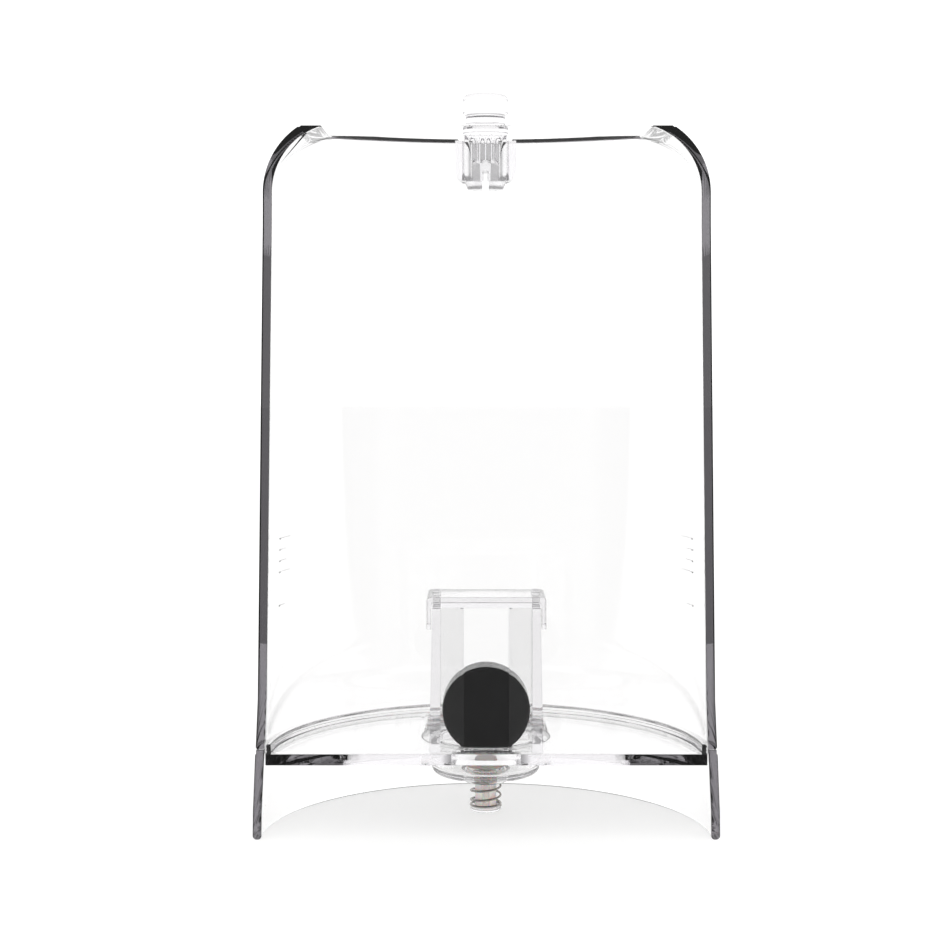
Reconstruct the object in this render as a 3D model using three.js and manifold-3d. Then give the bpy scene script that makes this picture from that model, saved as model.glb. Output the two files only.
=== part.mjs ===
// Removable drinking-water tank of a coffee machine: a clear, half-round tank with an open top,
// a floor carried on a flared skirt, a caged float on the flat side and a spring valve in the floor.
// Units are millimetres and +Z is up. The origin is at the middle of the footprint, on the surface
// that the skirt stands on. The flat side faces -Y and the curved side faces +Y.

import * as THREE from 'three';
import { mergeVertices } from 'three/addons/utils/BufferGeometryUtils.js';
import Module from 'manifold-3d';

const wasm = await Module();
wasm.setup();

// ---------------------------------------------------------------- driving dimensions

const DEPTH = 81.9; // flat face to the back of the skirt
const WALL = 3.1; // wall of the shell and the skirt
const GAP = 0.3; // clearance where two pieces meet
const ARC_STEPS = 96; // facets in a full turn of the large walls

// Outer radius of the curved wall at a few heights: it widens gently downwards.
const WALL_STATIONS = [
  { z: 0, radius: 81.9 },
  { z: 10, radius: 81.7 },
  { z: 32, radius: 80.5 },
  { z: 50, radius: 79.6 },
  { z: 102, radius: 78.4 },
  { z: 154, radius: 77.4 },
  { z: 215, radius: 76.4 },
  { z: 247.4, radius: 76.1 },
];
const RIM_Z = 247.4;
const SEAM_Z = 32; // top of the skirt, where the tank wall is welded on
const SHOULDER_Z = 224.5; // where the side walls start to round inwards
const SHOULDER_RADIUS = 27;

// The back of the rim stands up as a low crown with its outer edge chamfered. Each entry gives how
// far it rises above the panel at a distance from the middle: it stops at the knob and fades out.
const CROWN_RISES = [
  { x: 9.4, rise: 1.55 },
  { x: 42, rise: 1.55 },
  { x: 47, rise: 1.35 },
  { x: 52, rise: 1.1 },
  { x: 57, rise: 0.7 },
  { x: 61, rise: 0 },
];
const CROWN_INSET = 0.05; // ledge left on the wall on either side of the crown
const CROWN_ROOT = 0.4; // how far it reaches down into the wall

const PANEL = 3; // thickness of the flat wall
const PANEL_LIP = 4.2; // thickness of its top bead
const PANEL_LIP_HEIGHT = 3.3;

const FLOOR_BOTTOM = 26.5;
const FLOOR_TOP = 30.4;
const TONGUE = 1.45; // locating rib that stands up inside the tank wall
const TONGUE_TOP = 33.2;
const SKIRT_EDGE = 1.2; // rounding of the edge that the tank stands on

const OUTLET_BACK = 31; // outlet axis, measured back from the flat face
const CUP_RADIUS = 19.7; // outside of the sump cup under the floor
const CUP_WALL = 2;
const CUP_BOTTOM = 17;
const CUP_FLANGE_RADIUS = 23.3;
const CUP_FLANGE = 1.1; // let into the floor, flush with its top
const CUP_FILLET = 1.6;
const BOSS_RADIUS = 8.1; // spring boss under the cup
const BOSS_BOTTOM = 13.6;
const BOSS_BORE = 6.4;
const BOSS_BORE_TOP = 16;
const STEM_BORE = 4.6;

const STEM_RADIUS = 4.2;
const STEM_GROOVE_WIDTH = 2.6;
const STEM_GROOVE_DEPTH = 1.5;
const STEM_BOTTOM = 4.2;
const SEAL_RADIUS = 7.2;
const SEAL_THICKNESS = 1.8;
const HEAD_RADIUS = 6.4;
const HEAD_THICKNESS = 1.8;
const FOOT_RADIUS = 5.6;
const FOOT_BOTTOM = 2.5;
const FOOT_THICKNESS = 1.3;
const SPRING_RADIUS = 5.45; // to the middle of the wire
const SPRING_WIRE = 0.4; // radius of the wire
const SPRING_BOTTOM = 4.3;
const SPRING_TOP = 15.4;
const SPRING_CLOSED_TURNS = 1.1;
const SPRING_FREE_TURNS = 3;
const SPRING_STEPS_PER_TURN = 20;

const CAGE_BACK = 23; // back of the cage, measured from the flat face
const CAGE_INNER = 16.1; // half the width inside
const CAGE_OUTER_TOP = 18.9; // half the width outside, at the top
const CAGE_OUTER_BOTTOM = 20;
const CAGE_TOP = 81.3;
const CAGE_WEB = 1.3; // thickness of the cage's front and back webs
const CAGE_WEB_FRONT = 6.7; // front of the front web, measured from the flat face
const CAGE_SLOT = 7.9; // half the width of the slot in each web
const CAGE_RIB = 1.2; // stiffening ribs beside the front slot
const CAP_HALF_WIDTH = 20.9;
const CAP_BOTTOM = 81.6;
const CAP_TOP = 85.3;
const CAP_EAR_BOTTOM = 74;
const HOOK_X = 17.4; // middle of the snap hooks that hold the cap
const HOOK_WIDTH = 2.2;
const HOOK_DEPTH = 6;
const HOOK_TOP = 86.5;

const FLOAT_RADIUS = 15.5;
const FLOAT_FLAT = 13.5; // axis to the flat that rests on the floor
const FLOAT_FRONT = 9.2; // front face, measured from the flat face
const FLOAT_BACK = 20.9;
const FLOAT_SPLIT = 16.5; // joint between the two halves of the float
const MAGNET = { width: 14, depth: 4, height: 8 };

const KNOB_BACK = 64.3; // knob axis, measured back from the flat face
const KNOB_RADIUS = 8.5;
const KNOB_TOP = 265;
const KNOB_CAP_BOTTOM = 257.9;
const KNOB_NECK_RADIUS = 7.4;
const KNOB_BODY_RADIUS = 8.1;
const KNOB_COLLAR_BOTTOM = 250.2;
const KNOB_LEG_BOTTOM = 229.6;
const KNOB_LEG_TOP = 236;
const KNOB_SLOT = 2.4;
const FLUTES = 12;
const FLUTE_RADIUS = 1.1;
const SOCKET_HALF_WIDTH = 11.2;
const SOCKET_BOTTOM = 232.1;
const SOCKET_CORNER = 4;
const SOCKET_BORE = 8.8;

const FLAT_Y = -DEPTH / 2; // the plane of the flat face
const BACK_Y = DEPTH / 2;

// ---------------------------------------------------------------- materials

function material(color, roughness, metalness = 0, opacity = 1) {
  return new THREE.MeshStandardMaterial({
    color, roughness, metalness, opacity, transparent: opacity < 1,
  });
}

const clearPlastic = () => material(0xeef1f3, 0.05, 0, 0.25);
const blackPlastic = () => material(0x060606, 0.15);
const silicone = () => material(0xe6dcd2, 0.5, 0, 0.8);
const milkyPlastic = () => material(0xece4dc, 0.4, 0, 0.7);
const steel = () => material(0x9b9a98, 0.3, 1);
const magnetMetal = () => material(0x55565a, 0.45, 1);

// ---------------------------------------------------------------- solids

// Turns a closed three.js geometry into a solid, with its faces pointing out.
function solid(geometry) {
  const plain = geometry.index ? geometry.toNonIndexed() : geometry.clone();
  plain.deleteAttribute('normal');
  plain.deleteAttribute('uv');
  const merged = mergeVertices(plain, 1e-4);
  const points = merged.attributes.position.array;
  const index = merged.index.array;
  const triangles = [];
  let volume = 0;
  for (let i = 0; i < index.length; i += 3) {
    const [a, b, c] = [index[i], index[i + 1], index[i + 2]];
    if (a === b || b === c || c === a) continue;
    triangles.push(a, b, c);
    const corner = [a, b, c].map((k) => new THREE.Vector3().fromArray(points, 3 * k));
    volume += corner[0].dot(corner[1].clone().cross(corner[2]));
  }
  if (volume < 0) triangles.reverse();
  return new wasm.Manifold(new wasm.Mesh({
    numProp: 3,
    vertProperties: new Float32Array(points),
    triVerts: new Uint32Array(triangles),
  }));
}

function toGeometry(body) {
  const mesh = body.getMesh();
  const geometry = new THREE.BufferGeometry();
  geometry.setAttribute('position', new THREE.BufferAttribute(mesh.vertProperties, 3));
  geometry.setIndex(new THREE.BufferAttribute(mesh.triVerts, 1));
  geometry.computeVertexNormals();
  return geometry;
}

// A block between two corners.
function block(low, high) {
  const size = high.map((value, axis) => value - low[axis]);
  const middle = high.map((value, axis) => (value + low[axis]) / 2);
  return solid(new THREE.BoxGeometry(...size).translate(...middle));
}

// A solid of revolution about a vertical axis, from a list of [radius, z].
function turned(profile, y = FLAT_Y, steps = 48, x = 0) {
  const points = profile.map(([radius, z]) => new THREE.Vector2(radius, z));
  return solid(new THREE.LatheGeometry(points, steps).rotateX(Math.PI / 2).translate(x, y, 0));
}

// An outline in X and Z, extruded along Y from yLow to yHigh.
function alongY(shape, yLow, yHigh, curveSegments = 12) {
  const depth = yHigh - yLow;
  const geometry = new THREE.ExtrudeGeometry(shape, { depth, bevelEnabled: false, curveSegments });
  return solid(geometry.rotateX(Math.PI / 2).translate(0, yHigh, 0));
}

function rod(radius, zLow, zHigh, y, steps = 48) {
  return turned([[0, zLow], [radius, zLow], [radius, zHigh], [0, zHigh]], y, steps);
}

const behindFlatFace = (distance) => FLAT_Y + distance;

// ---------------------------------------------------------------- tank wall

function wallRadius(z) {
  const upper = WALL_STATIONS.findIndex((station) => station.z >= z);
  if (upper <= 0) return WALL_STATIONS[0].radius;
  const low = WALL_STATIONS[upper - 1];
  const high = WALL_STATIONS[upper];
  const share = (z - low.z) / (high.z - low.z);
  return low.radius + share * (high.radius - low.radius);
}

// The round body inside a wall offset, between two heights.
function roundBody(offset, zLow, zHigh) {
  const between = WALL_STATIONS.map((station) => station.z).filter((z) => z > zLow && z < zHigh);
  const heights = [zLow, ...between, zHigh];
  const sides = heights.map((z) => [wallRadius(Math.min(z, RIM_Z)) - offset, z]);
  return turned([[0, zLow], ...sides, [0, zHigh]], FLAT_Y, ARC_STEPS);
}

// The front outline with its rounded shoulders, offset inwards, as a block along the depth.
function shoulderBlock(offset, zLow, zHigh) {
  const wide = 90;
  const radius = SHOULDER_RADIUS - offset;
  const centreX = wallRadius(SHOULDER_Z) - SHOULDER_RADIUS;
  const rise = Math.min(zHigh - SHOULDER_Z, radius);
  const angle = Math.asin(rise / radius);
  const shape = new THREE.Shape();
  shape.moveTo(-wide, zLow);
  shape.lineTo(wide, zLow);
  shape.lineTo(wide, SHOULDER_Z);
  shape.lineTo(centreX + radius, SHOULDER_Z);
  shape.absarc(centreX, SHOULDER_Z, radius, 0, angle, false);
  shape.lineTo(-centreX - radius * Math.cos(angle), zHigh);
  shape.absarc(-centreX, SHOULDER_Z, radius, Math.PI - angle, Math.PI, false);
  shape.lineTo(-wide, SHOULDER_Z);
  shape.closePath();
  return alongY(shape, FLAT_Y - 10, BACK_Y + 10);
}

// The chamfered crown, on both sides of the knob.
function rimCrown() {
  const outer = wallRadius(RIM_Z) - CROWN_INSET;
  const inner = wallRadius(RIM_Z) - WALL + CROWN_INSET;
  const height = CROWN_RISES[0].rise;
  const profile = [
    [inner, RIM_Z - CROWN_ROOT],
    [outer, RIM_Z - CROWN_ROOT],
    [outer, RIM_Z],
    [outer - height, RIM_Z + height],
    [inner, RIM_Z + height],
    [inner, RIM_Z - CROWN_ROOT],
  ];
  const bead = turned(profile, FLAT_Y, ARC_STEPS);
  const last = CROWN_RISES[CROWN_RISES.length - 1].x;
  const halves = [-1, 1].map((side) => {
    const shape = new THREE.Shape();
    shape.moveTo(side * CROWN_RISES[0].x, RIM_Z - 1);
    shape.lineTo(side * last, RIM_Z - 1);
    for (const { x, rise } of [...CROWN_RISES].reverse()) shape.lineTo(side * x, RIM_Z + rise);
    shape.closePath();
    return bead.intersect(alongY(shape, FLAT_Y + 10, BACK_Y + 10));
  });
  return halves[0].add(halves[1]);
}

function curvedShell() {
  const low = SEAM_Z + GAP;
  const outside = roundBody(0, low, RIM_Z).intersect(shoulderBlock(0, low, RIM_Z));
  const over = 1;
  const bore = roundBody(WALL, low - over, RIM_Z + over);
  const inside = bore.intersect(shoulderBlock(WALL, low - over, RIM_Z + over));
  const behind = block([-100, FLAT_Y, 0], [100, BACK_Y + 10, 300]);
  return outside.subtract(inside).intersect(behind).add(rimCrown());
}

function rearPanel() {
  const low = FLOOR_TOP + GAP;
  const offset = WALL + GAP;
  const outline = roundBody(offset, low, RIM_Z).intersect(shoulderBlock(offset, low, RIM_Z));
  const sheet = outline.intersect(block([-100, FLAT_Y, low], [100, behindFlatFace(PANEL), RIM_Z]));
  const lipLow = [-100, FLAT_Y, RIM_Z - PANEL_LIP_HEIGHT];
  const lip = outline.intersect(block(lipLow, [100, behindFlatFace(PANEL_LIP), RIM_Z]));
  return sheet.add(lip);
}

function baseSkirt() {
  const bottom = wallRadius(0);
  const middle = bottom - WALL / 2;
  const inner = bottom - WALL;
  const edge = SKIRT_EDGE;
  const profile = [
    [inner, edge],
    [inner + edge * 0.3, edge * 0.3],
    [inner + edge, 0],
    [middle, 0],
    [bottom - edge, 0],
    [bottom - edge * 0.3, edge * 0.3],
    [bottom, edge],
    [wallRadius(10), 10],
    [wallRadius(SEAM_Z), SEAM_Z],
    [wallRadius(SEAM_Z) - WALL, SEAM_Z],
    [wallRadius(10) - WALL, 10],
    [inner, edge],
  ];
  const ring = turned(profile, FLAT_Y, ARC_STEPS);
  return ring.intersect(block([-100, FLAT_Y, 0], [100, BACK_Y + 10, SEAM_Z]));
}

function floorPlate() {
  const radius = wallRadius(FLOOR_TOP) - WALL - GAP;
  const plateLow = [-100, FLAT_Y, FLOOR_BOTTOM];
  const plate = rod(radius, FLOOR_BOTTOM, FLOOR_TOP, FLAT_Y, ARC_STEPS);
  const half = plate.intersect(block(plateLow, [100, BACK_Y + 10, FLOOR_TOP]));
  const ribOuter = wallRadius(SEAM_Z + GAP) - WALL - GAP;
  const ribInner = ribOuter - TONGUE;
  const foot = FLOOR_TOP - 1;
  const ring = turned([
    [ribInner, foot], [ribOuter, foot], [ribOuter, TONGUE_TOP], [ribInner, TONGUE_TOP], [ribInner, foot],
  ], FLAT_Y, ARC_STEPS);
  const ribStart = behindFlatFace(PANEL + 2 * GAP);
  const tongue = ring.intersect(block([-100, ribStart, foot], [100, BACK_Y + 10, TONGUE_TOP]));
  const outletY = behindFlatFace(OUTLET_BACK);
  const seatLow = FLOOR_TOP - CUP_FLANGE - GAP;
  const hole = rod(CUP_RADIUS + GAP, FLOOR_BOTTOM - 1, FLOOR_TOP + 1, outletY);
  const flangeSeat = rod(CUP_FLANGE_RADIUS + GAP, seatLow, FLOOR_TOP + 1, outletY);
  return half.add(tongue).subtract(hole).subtract(flangeSeat);
}

// ---------------------------------------------------------------- outlet and valve

function outletCup() {
  const flangeTop = FLOOR_TOP;
  const flangeLow = flangeTop - CUP_FLANGE;
  const inner = CUP_RADIUS - CUP_WALL;
  const plateTop = CUP_BOTTOM + CUP_WALL;
  const round = CUP_FILLET;
  return turned([
    [CUP_RADIUS, flangeLow],
    [CUP_RADIUS, CUP_BOTTOM + round],
    [CUP_RADIUS - round * 0.3, CUP_BOTTOM + round * 0.3],
    [CUP_RADIUS - round, CUP_BOTTOM],
    [BOSS_RADIUS, CUP_BOTTOM],
    [BOSS_RADIUS, BOSS_BOTTOM],
    [BOSS_BORE, BOSS_BOTTOM],
    [BOSS_BORE, BOSS_BORE_TOP],
    [STEM_BORE, BOSS_BORE_TOP],
    [STEM_BORE, plateTop],
    [inner - round, plateTop],
    [inner, plateTop + round],
    [inner, flangeTop],
    [CUP_FLANGE_RADIUS, flangeTop],
    [CUP_FLANGE_RADIUS, flangeLow],
    [CUP_RADIUS, flangeLow],
  ], behindFlatFace(OUTLET_BACK));
}

const OUTLET_Y = behindFlatFace(OUTLET_BACK);
const SEAL_LOW = CUP_BOTTOM + CUP_WALL + GAP;
const HEAD_LOW = SEAL_LOW + SEAL_THICKNESS + GAP;

function valveSeal() {
  const hole = STEM_RADIUS + GAP;
  const top = SEAL_LOW + SEAL_THICKNESS;
  return turned([
    [hole, SEAL_LOW], [SEAL_RADIUS, SEAL_LOW], [SEAL_RADIUS, top - 0.5],
    [SEAL_RADIUS - 0.5, top], [hole, top], [hole, SEAL_LOW],
  ], OUTLET_Y);
}

function valveStem() {
  const headTop = HEAD_LOW + HEAD_THICKNESS;
  const shaft = turned([
    [0, STEM_BOTTOM], [STEM_RADIUS, STEM_BOTTOM], [STEM_RADIUS, HEAD_LOW], [HEAD_RADIUS, HEAD_LOW],
    [HEAD_RADIUS, headTop - 0.6], [HEAD_RADIUS - 0.6, headTop], [0, headTop],
  ], OUTLET_Y);
  const floor = STEM_RADIUS - STEM_GROOVE_DEPTH;
  let stem = shaft;
  for (let quarter = 0; quarter < 4; quarter += 1) {
    const groove = new THREE.BoxGeometry(STEM_GROOVE_WIDTH, 4, HEAD_LOW - STEM_BOTTOM - 3);
    groove.translate(0, floor + 2, (HEAD_LOW + STEM_BOTTOM) / 2);
    groove.rotateZ(quarter * Math.PI / 2).translate(0, OUTLET_Y, 0);
    stem = stem.subtract(solid(groove));
  }
  return stem;
}

function springFoot() {
  const top = FOOT_BOTTOM + FOOT_THICKNESS;
  return turned([
    [0, FOOT_BOTTOM], [FOOT_RADIUS - 0.4, FOOT_BOTTOM], [FOOT_RADIUS, FOOT_BOTTOM + 0.4],
    [FOOT_RADIUS, top], [0, top],
  ], OUTLET_Y);
}

// A compression spring: a closed turn at the bottom, then free turns of even pitch.
class SpringPath extends THREE.Curve {
  getPoint(t, target = new THREE.Vector3()) {
    const turns = SPRING_CLOSED_TURNS + SPRING_FREE_TURNS;
    const turn = t * turns;
    const closedRise = SPRING_CLOSED_TURNS * SPRING_WIRE * 2.2;
    const freePitch = (SPRING_TOP - SPRING_BOTTOM - closedRise) / SPRING_FREE_TURNS;
    const closed = Math.min(turn, SPRING_CLOSED_TURNS) / SPRING_CLOSED_TURNS;
    const free = Math.max(turn - SPRING_CLOSED_TURNS, 0);
    const angle = turn * 2 * Math.PI;
    const z = SPRING_BOTTOM + SPRING_WIRE + closed * closedRise + free * freePitch;
    return target.set(SPRING_RADIUS * Math.cos(angle), SPRING_RADIUS * Math.sin(angle), z);
  }
}

function valveSpring() {
  const section = new THREE.Shape();
  section.absarc(0, 0, SPRING_WIRE, 0, 2 * Math.PI, false);
  const turns = SPRING_CLOSED_TURNS + SPRING_FREE_TURNS;
  const geometry = new THREE.ExtrudeGeometry(section, {
    steps: Math.round(turns * SPRING_STEPS_PER_TURN),
    curveSegments: 6,
    bevelEnabled: false,
    extrudePath: new SpringPath(),
  });
  return solid(geometry.translate(0, OUTLET_Y, -SPRING_WIRE));
}

// ---------------------------------------------------------------- float and cage

// Half the outside width of the cage at a height: its sides lean out towards the floor.
function cageOuter(z) {
  const share = (z - FLOOR_TOP) / (CAGE_TOP - FLOOR_TOP);
  return CAGE_OUTER_BOTTOM + share * (CAGE_OUTER_TOP - CAGE_OUTER_BOTTOM);
}

function floatCage() {
  const low = FLOOR_TOP + GAP;
  const front = behindFlatFace(PANEL + GAP);
  const back = behindFlatFace(CAGE_BACK);
  const outline = new THREE.Shape();
  outline.moveTo(-cageOuter(low), low);
  outline.lineTo(cageOuter(low), low);
  outline.lineTo(cageOuter(CAGE_TOP), CAGE_TOP);
  outline.lineTo(-cageOuter(CAGE_TOP), CAGE_TOP);
  outline.closePath();
  const webFront = behindFlatFace(CAGE_WEB_FRONT);
  const inside = block([-CAGE_INNER, webFront + CAGE_WEB, 0], [CAGE_INNER, back - CAGE_WEB, 100]);
  const frontBay = block([-CAGE_INNER, FLAT_Y, 0], [CAGE_INNER, webFront, 100]);
  const slot = block([-CAGE_SLOT, FLAT_Y, 0], [CAGE_SLOT, back + 1, 100]);
  let cage = alongY(outline, front, back).subtract(inside).subtract(frontBay).subtract(slot);
  for (const side of [-1, 1]) {
    const ribX = side * (CAGE_SLOT + CAGE_RIB / 2);
    cage = cage.add(block(
      [ribX - CAGE_RIB / 2, front, low],
      [ribX + CAGE_RIB / 2, webFront + CAGE_WEB / 2, CAGE_TOP],
    ));
    const hookY = (front + back) / 2;
    cage = cage.add(block(
      [side * HOOK_X - HOOK_WIDTH / 2, hookY - HOOK_DEPTH / 2, CAGE_TOP - 1],
      [side * HOOK_X + HOOK_WIDTH / 2, hookY + HOOK_DEPTH / 2, HOOK_TOP],
    ));
  }
  return cage;
}

// A low sill in front of the float, which joins the two sides of the cage.
function cageSill() {
  const front = behindFlatFace(PANEL + GAP);
  return block(
    [-CAGE_SLOT - CAGE_RIB, front, FLOOR_TOP + GAP],
    [CAGE_SLOT + CAGE_RIB, behindFlatFace(CAGE_WEB_FRONT), FLOOR_TOP + 1.5],
  );
}

function cageCap() {
  const front = behindFlatFace(PANEL + GAP);
  const back = behindFlatFace(CAGE_BACK);
  const round = 1.2;
  const outline = new THREE.Shape();
  outline.moveTo(-CAP_HALF_WIDTH, CAP_EAR_BOTTOM);
  outline.lineTo(-cageOuter(CAP_EAR_BOTTOM) - GAP, CAP_EAR_BOTTOM);
  outline.lineTo(-cageOuter(CAP_EAR_BOTTOM) - GAP, CAP_BOTTOM);
  outline.lineTo(cageOuter(CAP_EAR_BOTTOM) + GAP, CAP_BOTTOM);
  outline.lineTo(cageOuter(CAP_EAR_BOTTOM) + GAP, CAP_EAR_BOTTOM);
  outline.lineTo(CAP_HALF_WIDTH, CAP_EAR_BOTTOM);
  outline.lineTo(CAP_HALF_WIDTH, CAP_TOP - round);
  outline.absarc(CAP_HALF_WIDTH - round, CAP_TOP - round, round, 0, Math.PI / 2, false);
  outline.lineTo(-CAP_HALF_WIDTH + round, CAP_TOP);
  outline.absarc(-CAP_HALF_WIDTH + round, CAP_TOP - round, round, Math.PI / 2, Math.PI, false);
  outline.closePath();
  let cap = alongY(outline, front, back, 4);
  const hookY = (front + back) / 2;
  for (const side of [-1, 1]) {
    cap = cap.subtract(block(
      [side * HOOK_X - HOOK_WIDTH / 2 - GAP, hookY - HOOK_DEPTH / 2 - GAP, CAP_BOTTOM - 1],
      [side * HOOK_X + HOOK_WIDTH / 2 + GAP, hookY + HOOK_DEPTH / 2 + GAP, CAP_TOP + 1],
    ));
  }
  return cap;
}

const FLOAT_AXIS_Z = FLOOR_TOP + GAP + FLOAT_FLAT;

// A disc on edge with a flat cut along its bottom.
function floatDisc(radius, flat, yLow, yHigh) {
  const start = -Math.asin(flat / radius);
  const shape = new THREE.Shape();
  shape.absarc(0, FLOAT_AXIS_Z, radius, start, Math.PI - start, false);
  shape.closePath();
  return alongY(shape, yLow, yHigh, 40);
}

function magnetPocket(clearance) {
  const joint = behindFlatFace(FLOAT_SPLIT);
  const halfWidth = MAGNET.width / 2 + clearance;
  const halfHeight = MAGNET.height / 2 + clearance;
  const back = joint + (clearance ? 1 : -GAP);
  return block(
    [-halfWidth, joint - MAGNET.depth - clearance, FLOAT_AXIS_Z - halfHeight],
    [halfWidth, back, FLOAT_AXIS_Z + halfHeight],
  );
}

function floatFront() {
  const front = behindFlatFace(FLOAT_FRONT);
  const bevel = 0.8;
  const face = floatDisc(FLOAT_RADIUS - bevel, FLOAT_FLAT - bevel, front, front + bevel);
  const drum = floatDisc(FLOAT_RADIUS, FLOAT_FLAT, front + bevel, behindFlatFace(FLOAT_SPLIT));
  return face.add(drum).subtract(magnetPocket(GAP));
}

function floatBack() {
  const back = behindFlatFace(FLOAT_BACK);
  const bevel = 0.8;
  const face = floatDisc(FLOAT_RADIUS - bevel, FLOAT_FLAT - bevel, back - bevel, back);
  return floatDisc(FLOAT_RADIUS, FLOAT_FLAT, behindFlatFace(FLOAT_SPLIT + GAP), back - bevel).add(face);
}

// ---------------------------------------------------------------- rim knob

function knobSocket() {
  const axisY = behindFlatFace(KNOB_BACK);
  const corner = SOCKET_CORNER;
  const half = SOCKET_HALF_WIDTH;
  const top = RIM_Z - 0.6;
  const outline = new THREE.Shape();
  outline.moveTo(-half, top);
  outline.lineTo(-half, SOCKET_BOTTOM + corner);
  outline.absarc(-half + corner, SOCKET_BOTTOM + corner, corner, Math.PI, 1.5 * Math.PI, false);
  outline.lineTo(half - corner, SOCKET_BOTTOM);
  outline.absarc(half - corner, SOCKET_BOTTOM + corner, corner, 1.5 * Math.PI, 2 * Math.PI, false);
  outline.lineTo(half, top);
  outline.closePath();
  const lug = alongY(outline, axisY - half, BACK_Y, 6);
  const room = roundBody(WALL + GAP, SOCKET_BOTTOM - 1, RIM_Z);
  const bore = rod(SOCKET_BORE, SOCKET_BOTTOM - 1, RIM_Z + 1, axisY);
  return lug.intersect(room).subtract(bore);
}

function liftKnob() {
  const axisY = behindFlatFace(KNOB_BACK);
  const barb = 233.2;
  let knob = turned([
    [0, KNOB_LEG_BOTTOM],
    [KNOB_BODY_RADIUS - 1.4, KNOB_LEG_BOTTOM],
    [KNOB_BODY_RADIUS, barb],
    [KNOB_BODY_RADIUS, KNOB_COLLAR_BOTTOM],
    [KNOB_RADIUS, KNOB_COLLAR_BOTTOM],
    [KNOB_RADIUS, KNOB_COLLAR_BOTTOM + 2.2],
    [KNOB_NECK_RADIUS, KNOB_COLLAR_BOTTOM + 3.6],
    [KNOB_NECK_RADIUS, KNOB_CAP_BOTTOM - 1.2],
    [KNOB_RADIUS, KNOB_CAP_BOTTOM],
    [KNOB_RADIUS, KNOB_TOP - 2.2],
    [KNOB_RADIUS - 0.7, KNOB_TOP - 0.9],
    [KNOB_RADIUS - 2.4, KNOB_TOP - 0.3],
    [0, KNOB_TOP],
  ], axisY);
  for (let flute = 0; flute < FLUTES; flute += 1) {
    const angle = (flute + 0.5) * 2 * Math.PI / FLUTES;
    const groove = turned([
      [0, KNOB_LEG_TOP + 3], [FLUTE_RADIUS, KNOB_LEG_TOP + 3],
      [FLUTE_RADIUS, KNOB_COLLAR_BOTTOM - 1], [0, KNOB_COLLAR_BOTTOM - 1],
    ], axisY + KNOB_BODY_RADIUS * Math.sin(angle), 10, KNOB_BODY_RADIUS * Math.cos(angle));
    knob = knob.subtract(groove);
  }
  const slotLow = [-KNOB_SLOT / 2, axisY - 20, KNOB_LEG_BOTTOM - 1];
  return knob.subtract(block(slotLow, [KNOB_SLOT / 2, axisY + 20, KNOB_LEG_TOP]));
}

// ---------------------------------------------------------------- assembly

const tank = new THREE.Group();
tank.name = 'water_tank';

function place(name, body, surface) {
  const mesh = new THREE.Mesh(toGeometry(body), surface);
  mesh.name = name;
  tank.add(mesh);
}

place('curved_shell', curvedShell(), clearPlastic());
place('rear_panel', rearPanel(), clearPlastic());
place('base_skirt', baseSkirt(), clearPlastic());
place('floor_plate', floorPlate(), clearPlastic());
place('outlet_cup', outletCup(), clearPlastic());
place('valve_stem', valveStem(), milkyPlastic());
place('valve_seal', valveSeal(), silicone());
place('spring_foot', springFoot(), clearPlastic());
place('valve_spring', valveSpring(), steel());
place('float_cage', floatCage().add(cageSill()), clearPlastic());
place('cage_cap', cageCap(), clearPlastic());
place('float_front', floatFront(), blackPlastic());
place('float_back', floatBack(), blackPlastic());
place('float_magnet', magnetPocket(0), magnetMetal());
place('knob_socket', knobSocket(), clearPlastic());
place('lift_knob', liftKnob(), clearPlastic());

export default tank;
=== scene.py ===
"""The finished look of a removable water tank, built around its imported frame.

Lengths are metres in the frame's own axes: +Z up, the flat side facing -Y.
"""

import math

import bmesh
import bpy
from bpy.props import FloatProperty, FloatVectorProperty, IntProperty, PointerProperty
from mathutils import Matrix, Vector


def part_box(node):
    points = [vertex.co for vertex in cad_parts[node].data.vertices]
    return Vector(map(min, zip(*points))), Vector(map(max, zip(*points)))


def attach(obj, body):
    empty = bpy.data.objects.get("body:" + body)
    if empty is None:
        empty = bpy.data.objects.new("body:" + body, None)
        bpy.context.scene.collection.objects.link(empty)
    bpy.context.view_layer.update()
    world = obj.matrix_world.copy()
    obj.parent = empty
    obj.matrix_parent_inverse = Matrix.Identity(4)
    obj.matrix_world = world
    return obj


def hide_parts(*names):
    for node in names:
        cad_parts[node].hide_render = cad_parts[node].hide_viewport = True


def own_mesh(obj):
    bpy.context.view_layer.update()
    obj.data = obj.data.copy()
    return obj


bl_info = {
    "name": "Water Tank Maker",
    "version": (1, 0, 0),
    "blender": (4, 5, 0),
    "location": "View3D > Sidebar > Tank",
    "description": "Builds a clear half-round water tank with its float, outlet valve and rim knob",
    "category": "Add Mesh",
}

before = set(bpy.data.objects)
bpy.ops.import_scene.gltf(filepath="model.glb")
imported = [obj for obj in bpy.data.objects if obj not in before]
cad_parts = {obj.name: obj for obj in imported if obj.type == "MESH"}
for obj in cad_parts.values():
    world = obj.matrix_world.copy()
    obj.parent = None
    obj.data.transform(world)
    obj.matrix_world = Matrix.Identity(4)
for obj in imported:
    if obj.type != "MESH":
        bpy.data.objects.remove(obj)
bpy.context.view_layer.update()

MM = 0.001

# ---------------------------------------------------------------- places read from the frame

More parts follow.
